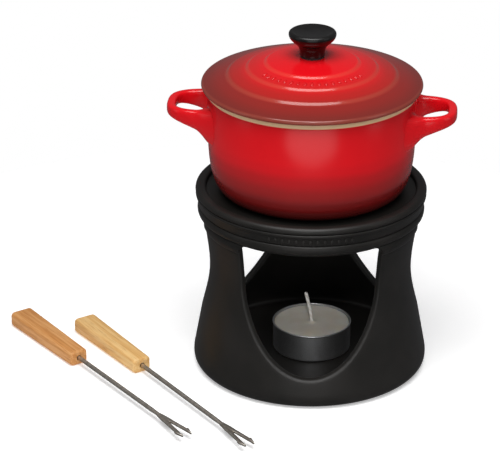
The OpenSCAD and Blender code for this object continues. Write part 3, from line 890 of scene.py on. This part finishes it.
def bevel_rims(depth, width, segments):
    """Bevels the window rims on one face of the slab."""
    take(wall)
    bpy.ops.object.mode_set(mode="EDIT")
    bpy.ops.mesh.select_all(action="DESELECT")
    mesh = bmesh.from_edit_mesh(wall.data)
    for edge in rim_edges(mesh, depth):
        edge.select = True
    bmesh.update_edit_mesh(wall.data)
    bpy.ops.mesh.bevel(offset=width * MM, segments=segments, profile=0.5, affect="EDGES", clamp_overlap=False)
    bpy.ops.object.mode_set(mode="OBJECT")


OUTSIDE_BEVEL, INSIDE_BEVEL = 1.9, 1.2
bevel_rims(0, OUTSIDE_BEVEL, 5)
bevel_rims(STAND_WALL, INSIDE_BEVEL, 3)

take(wall)
bpy.ops.object.mode_set(mode="EDIT")
bpy.ops.mesh.select_mode(type="FACE")
bpy.ops.mesh.select_all(action="DESELECT")
mesh = bmesh.from_edit_mesh(wall.data)
mesh.normal_update()
for face in mesh.faces:
    centre = face.calc_center_median() / MM
    face.select = (abs(abs(centre.x) - pi * ROLL_R) < 0.1 or abs(centre.z - WALL_LOW) < 0.01
                   or abs(centre.z - WALL_HIGH) < 0.01)
bmesh.update_edit_mesh(wall.data)
bpy.ops.mesh.delete(type="FACE")
bpy.ops.mesh.select_mode(type="VERT")
for _, z in wall_line[1:-1]:
    bpy.ops.mesh.select_all(action="SELECT")
    bpy.ops.mesh.bisect(plane_co=(0, 0, z * MM), plane_no=(0, 0, 1))
for k in range(1, TURNS):
    bpy.ops.mesh.select_all(action="SELECT")
    bpy.ops.mesh.bisect(plane_co=((2 * k / TURNS - 1) * pi * ROLL_R * MM, 0, 0), plane_no=(1, 0, 0))
bpy.ops.object.mode_set(mode="OBJECT")


def rolled(x, y, z):
    """Where a point of the flat slab goes on the round wall, in millimetres."""
    depth = y / STAND_WALL
    outer, inner = along_line(wall_line, z), along_line(inner_line, z)
    r = outer + (inner - outer) * depth
    angle = x / ROLL_R
    window = round(angle / radians(WINDOW_TURN)) * radians(WINDOW_TURN)
    off = angle - window
    hold = 1 - soft_step((abs(off) - radians(JAMB_REACH)) / radians(JAMB_FADE))
    hold *= soft_step((z - WALL_LOW) / 4) * soft_step((WALL_HIGH - z) / 3.3)
    slid = asin(max(min(side_r(z) * sin(off) / (side_r(z) - y), 1), -1)) if abs(off) < radians(59.9) else off
    angle = window + off + (slid - off) * hold * JAMB_PARALLEL
    return r * sin(angle), -r * cos(angle), z


for vertex in wall.data.vertices:
    vertex.co = Vector(rolled(*(vertex.co / MM))) * MM
wall.data.update()
print("rolled wall:", len(wall.data.polygons), "faces")

# %% [markdown]
# ## Stand: foot, floor and lip
# What is left of the stand is round all the way, and is spun: the foot with its raised
# middle, the floor that carries the tealight, and the lip with the ledge for the pot.
# The four parts meet in the same circles of points and are merged into one shell.

# %% Foot, floor and lip
FOOT_R = side_r(5) - 0.33
FOOT_ROUND = 5
RECESS = 2.5
HEAT_HOLE_R = 36
foot_line = [(side_r(WALL_LOW), WALL_LOW), (side_r(6.6) - 0.06, 6.6)]
foot_line += arc(FOOT_R - FOOT_ROUND, FOOT_ROUND, FOOT_ROUND, 0, -90, 10)
foot_line += [(FOOT_R - 10.6, 0), (FOOT_R - 11, 0.3), (FOOT_R - 11.2, RECESS - 0.3), (FOOT_R - 11.6, RECESS)]
foot_line += [(20, RECESS), (0, RECESS)]
foot_part = turn("stand_foot", foot_line, TURNS)
floor_edge = side_r(WALL_LOW) - STAND_WALL
floor_line = [(0, CUP_Z), (20, CUP_Z), (floor_edge - 2.5, CUP_Z)]
floor_line += bend((floor_edge - 2.5, CUP_Z), (floor_edge - 0.3, CUP_Z), (floor_edge, WALL_LOW), 5)
floor_part = turn("stand_floor", floor_line, TURNS)
lip_line = [(LIP_R - 1.35, WALL_HIGH), (LIP_R - 1.2, WALL_HIGH + 0.3), (LIP_R - 1, RING_Z + 15.2)]
lip_line += bead(LIP_R - 0.8, RING_Z + 15.5, RING_Z + 17.3, 0.7, 6)
lip_line += arc(LIP_R - 2, STAND_H - 2, 2, -20, 90, 9)
lip_line += arc(LIP_R - LIP_W + 1.4, STAND_H - 1.4, 1.4, 90, 170, 6)
lip_in = LIP_R - LIP_W
lip_line += [(lip_in, SEAT_Z + 0.5), (lip_in - 0.15, SEAT_Z + 0.15), (lip_in - 0.6, SEAT_Z)]
lip_line += [(HEAT_HOLE_R + 1, SEAT_Z)] + arc(HEAT_HOLE_R + 0.8, SEAT_Z - 0.8, 0.8, 90, 180, 4)
lip_line += arc(HEAT_HOLE_R + 0.8, LEDGE_Z + 0.8, 0.8, 180, 270, 4)
lip_line += [(WAIST_R - STAND_WALL - 2, LEDGE_Z), inner_line[-1]]
lip_part = turn("stand_lip", lip_line, TURNS)
alone()
for part in (wall, foot_part, floor_part, lip_part):
    part.select_set(True)
bpy.context.view_layer.objects.active = wall
bpy.ops.object.join()
close_up(wall, 42)
keep(wall, "stand", "black_stoneware", stand_black, "stand")
stand_pips = pip_arc("stand_pips", 1.7, 2.5, 0.5, 90, LIP_R - 1.1, RING_Z + 13.4, 21, 13)
keep(stand_pips, "stand", "black_stoneware", stand_black)

# %% [markdown]
# ## Tealight
# The cup has a thin wall and a rim rolled outwards. The wax is a little lower at the
# wall, where it shrank while it set, and climbs the wick.

# %% Tealight
CUP_WALL = 0.5
WAX_Z = CUP_TOP_Z - 1.0
cup_line = [(0, CUP_Z + 0.25), (10, CUP_Z + 0.25), (11, CUP_Z), (CUP_R - 1.8, CUP_Z)]
cup_line += arc(CUP_R - 1.6, CUP_Z + 1.25, 1.25, -90, 0, 6)
cup_line += [(CUP_R - 0.3, CUP_TOP_Z - 1.3), (CUP_R - 0.22, CUP_TOP_Z - 0.9)]
cup_line += arc(CUP_R - 0.42, CUP_TOP_Z - 0.42, 0.42, -40, 200, 9)
cup_line += [(CUP_R - 0.8, CUP_TOP_Z - 1.2), (CUP_R - 0.4 - CUP_WALL, CUP_Z + 1.6)]
cup_line += arc(CUP_R - 1.7 - CUP_WALL, CUP_Z + 0.5 + 0.8, 0.8, 0, -90, 4)
cup_line += [(0, CUP_Z + CUP_WALL + 0.05)]
cup = turn("foil_cup", cup_line, 128, CUP_X)
keep(cup, "tealight", "thin_aluminium", foil, "tealight_cup")

WAX_R = CUP_R - 0.45 - CUP_WALL
wax_line = [(0, CUP_Z + 2.6), (6.1, CUP_Z + 2.6), (6.1, CUP_Z + 0.65), (WAX_R - 1.2, CUP_Z + 0.65)]
wax_line += [(WAX_R - 0.15, CUP_Z + 2.2), (WAX_R - 0.02, WAX_Z - 0.9)]
wax_line += arc(WAX_R - 0.22, WAX_Z - 0.2, 0.2, 0, 90, 5)
wax_line += bend((WAX_R - 0.22, WAX_Z), (12, WAX_Z - 0.15), (5, WAX_Z - 0.2), 8)
wax_line += bend((5, WAX_Z - 0.2), (1.8, WAX_Z - 0.2), (0.9, WAX_Z + 0.6), 8) + [(0, WAX_Z + 0.6)]
wax_body = turn("wax_cake", wax_line, 96, CUP_X)
keep(wax_body, "tealight", "paraffin_wax", wax, "tealight_wax")

WICK_R, WICK_RINGS = 0.85, 60
WICK_Z = CUP_Z + 2.9
WICK_TOP_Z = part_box("tealight_wick")[1].z / MM
WICK_LEAN = 3.0
WICK_TWIST = 14


def on_wick(ring, angle):
    """A point of the wick: two strands wound round each other, leaning to one side."""
    t = ring / WICK_RINGS
    up = (WICK_TOP_Z - WICK_Z) * t
    free = max((WICK_Z + up - WAX_Z) / (WICK_TOP_Z - WAX_Z), 0)
    wound = angle + t * WICK_TWIST
    r = WICK_R * (0.93 + 0.07 * abs(cos(wound))) * (1 if 0 < ring < WICK_RINGS else 0.75)
    return CUP_X - WICK_LEAN * free ** 1.3 + r * cos(angle), r * sin(angle), WICK_Z + up


wick = straight_tube("cotton_wick", WICK_RINGS, 16)
lay(wick, on_wick)
close_up(wick, 60)
keep(wick, "tealight", "cotton_wick", cotton, "tealight_wick")

# %% [markdown]
# ## Fork handles
# A handle is sawn from a strip, a little narrower in front, and its edges are rounded
# over. It starts as a box along +X, with the front end drawn in. The long edges take a
# wide bevel and the ends a small one, and the hole for the shank is bored last.

# %% Fork handles
GRIP_L, GRIP_W, GRIP_FRONT_W, GRIP_H = 56.0, 12.0, 9.4, 7.6
EDGE_ROUND, END_ROUND = 2.1, 1.4
SHANK_D, SHANK_Z = 2.1, GRIP_H / 2
FORK_PLACES = {"fork_1": (-127.8, 10.8), "fork_2": (-96.2, 4.0)}


def edges_where(piece, wanted):
    """Opens a piece for editing with only the wanted edges selected."""
    take(piece)
    bpy.ops.object.mode_set(mode="EDIT")
    bpy.ops.mesh.select_mode(type="EDGE")
    bpy.ops.mesh.select_all(action="DESELECT")
    mesh = bmesh.from_edit_mesh(piece.data)
    for edge in mesh.edges:
        edge.select = wanted(*(v.co / MM for v in edge.verts))
    bmesh.update_edit_mesh(piece.data)


alone()
bpy.ops.mesh.primitive_cube_add(size=1)
grip = bpy.context.object
grip.name = grip.data.name = "fork_grip"
grip.scale = (GRIP_L * MM, GRIP_W * MM, GRIP_H * MM)
grip.location = (0, 0, GRIP_H / 2 * MM)
bpy.ops.object.transform_apply(location=True, scale=True)
edges_where(grip, lambda a, b: a.x > 0 and b.x > 0)
bpy.ops.transform.resize(value=(1, GRIP_FRONT_W / GRIP_W, 1))
edges_where(grip, lambda a, b: abs(a.x - b.x) > 1)
bpy.ops.mesh.bevel(offset=EDGE_ROUND * MM, segments=6, profile=0.5, affect="EDGES")
edges_where(grip, lambda a, b: abs(a.x - b.x) < 0.01 and abs(abs(a.x) - GRIP_L / 2) < 0.01)
bpy.ops.mesh.bevel(offset=END_ROUND * MM, segments=4, profile=0.5, affect="EDGES")
bpy.ops.object.mode_set(mode="OBJECT")
bpy.ops.mesh.primitive_cylinder_add(
    vertices=40, radius=(SHANK_D / 2 + 0.3) * MM, depth=8 * MM,
    location=(GRIP_L / 2 * MM, 0, SHANK_Z * MM), rotation=(0, pi / 2, 0))
drill = bpy.context.object
take(grip)
bore = grip.modifiers.new("bore", "BOOLEAN")
bore.object = drill
bore.solver = "EXACT"
bpy.ops.object.modifier_apply(modifier="bore")
bpy.data.objects.remove(drill)
close_up(grip, 40)

# %% [markdown]
# ## Fork steel
# The shank is drawn wire. Its front is hammered flat and split into two tines, each with
# a small barb outside to hold the bread. The shank is a tube laid along the fork. The
# flat head is a plate with a fine bevel on its edges. A bevel eats its width from both
# ends of a side, so each side of the outline is longer than two widths.

# %% Fork steel
FORK_L, PRONG_L, SPREAD, FLAT_T, TINE_W = 151.0, 17.0, 7.2, 1.1, 1.9
SPLIT_X = FORK_L - GRIP_L / 2 - PRONG_L
NECK_X = SPLIT_X - 8
SHANK_FROM = GRIP_L / 2 - 3.5
SHANK_RINGS = 24
NECK_HALF = 1.05
HEAD_EDGE = 0.22


def on_shank(ring, angle):
    """A point of the wire, which flattens and widens into the head."""
    t = ring / SHANK_RINGS
    x = SHANK_FROM + (NECK_X - SHANK_FROM + 1.5) * t
    flat = soft_step((x - (NECK_X - 4)) / 5)
    half_w = SHANK_D / 2 * (1 - flat) + NECK_HALF * flat
    half_h = SHANK_D / 2 * (1 - flat) + FLAT_T / 2 * 1.02 * flat
    return x, half_w * cos(angle), SHANK_Z + half_h * sin(angle)


shank = straight_tube("fork_shank", SHANK_RINGS, 24)
lay(shank, on_shank)
close_up(shank, 50)

half, tip_x = SPREAD / 2, SPLIT_X + PRONG_L
tine = [(SPLIT_X + 2.2, 0.0), (SPLIT_X + 3.2, 0.45), (tip_x - 3.5, half - TINE_W),
        (tip_x - 0.3, half - TINE_W * 0.85), (tip_x, half - TINE_W * 0.6),
        (tip_x - 4, half), (tip_x - 5.4, half), (tip_x - 5, half - 0.5),
        (SPLIT_X + 1, TINE_W + 0.1), (SPLIT_X - 1.5, TINE_W), (NECK_X + 0.6, NECK_HALF)]
outline = tine + [(x, -y) for x, y in reversed(tine) if y > 0]
fork_head = draw("fork_head", outline)
bpy.ops.mesh.select_all(action="SELECT")
bpy.ops.mesh.edge_face_add()
bpy.ops.mesh.extrude_region_move(TRANSFORM_OT_translate={"value": (0, FLAT_T * MM, 0)})
bpy.ops.mesh.select_all(action="SELECT")
bpy.ops.transform.rotate(value=-pi / 2, orient_axis="X", center_override=(0, 0, 0))
bpy.ops.object.mode_set(mode="OBJECT")
turned_low = min(v.co.z for v in fork_head.data.vertices)
take(fork_head)
bpy.ops.object.mode_set(mode="EDIT")
bpy.ops.mesh.select_all(action="SELECT")
bpy.ops.transform.translate(value=(0, 0, (SHANK_Z - FLAT_T / 2) * MM - turned_low))
bpy.ops.mesh.normals_make_consistent(inside=False)
edges_where(fork_head, lambda a, b: abs(a.z - b.z) < 0.01)
bpy.ops.mesh.bevel(offset=HEAD_EDGE * MM, segments=2, profile=0.5, affect="EDGES")
bpy.ops.object.mode_set(mode="OBJECT")
alone()
fork_head.select_set(True)
shank.select_set(True)
bpy.context.view_layer.objects.active = shank
bpy.ops.object.join()
close_up(shank, 40)


def lay_fork(piece, fork, name):
    """A copy of a piece of the fork, turned and moved to where one fork lies."""
    take(piece)
    bpy.ops.object.duplicate()
    copy = bpy.context.object
    copy.name = copy.data.name = name
    copy.rotation_euler = (0, 0, radians(FORK_TURNS[fork]))
    copy.location = (FORK_PLACES[fork][0] * MM, FORK_PLACES[fork][1] * MM, 0)
    bpy.ops.object.transform_apply(location=True, rotation=True, scale=True)
    return copy


for fork in FORK_TURNS:
    keep(lay_fork(grip, fork, fork + "_grip"), fork, "oiled_wood", woods[fork], fork + "_handle")
    keep(lay_fork(shank, fork, fork + "_steel"), fork, "fork_steel", fork_steel, fork + "_prongs")
bpy.data.objects.remove(grip)
bpy.data.objects.remove(shank)

# %% [markdown]
# ## Last step
# Back to object mode, with nothing selected.

# %% Last step
alone()
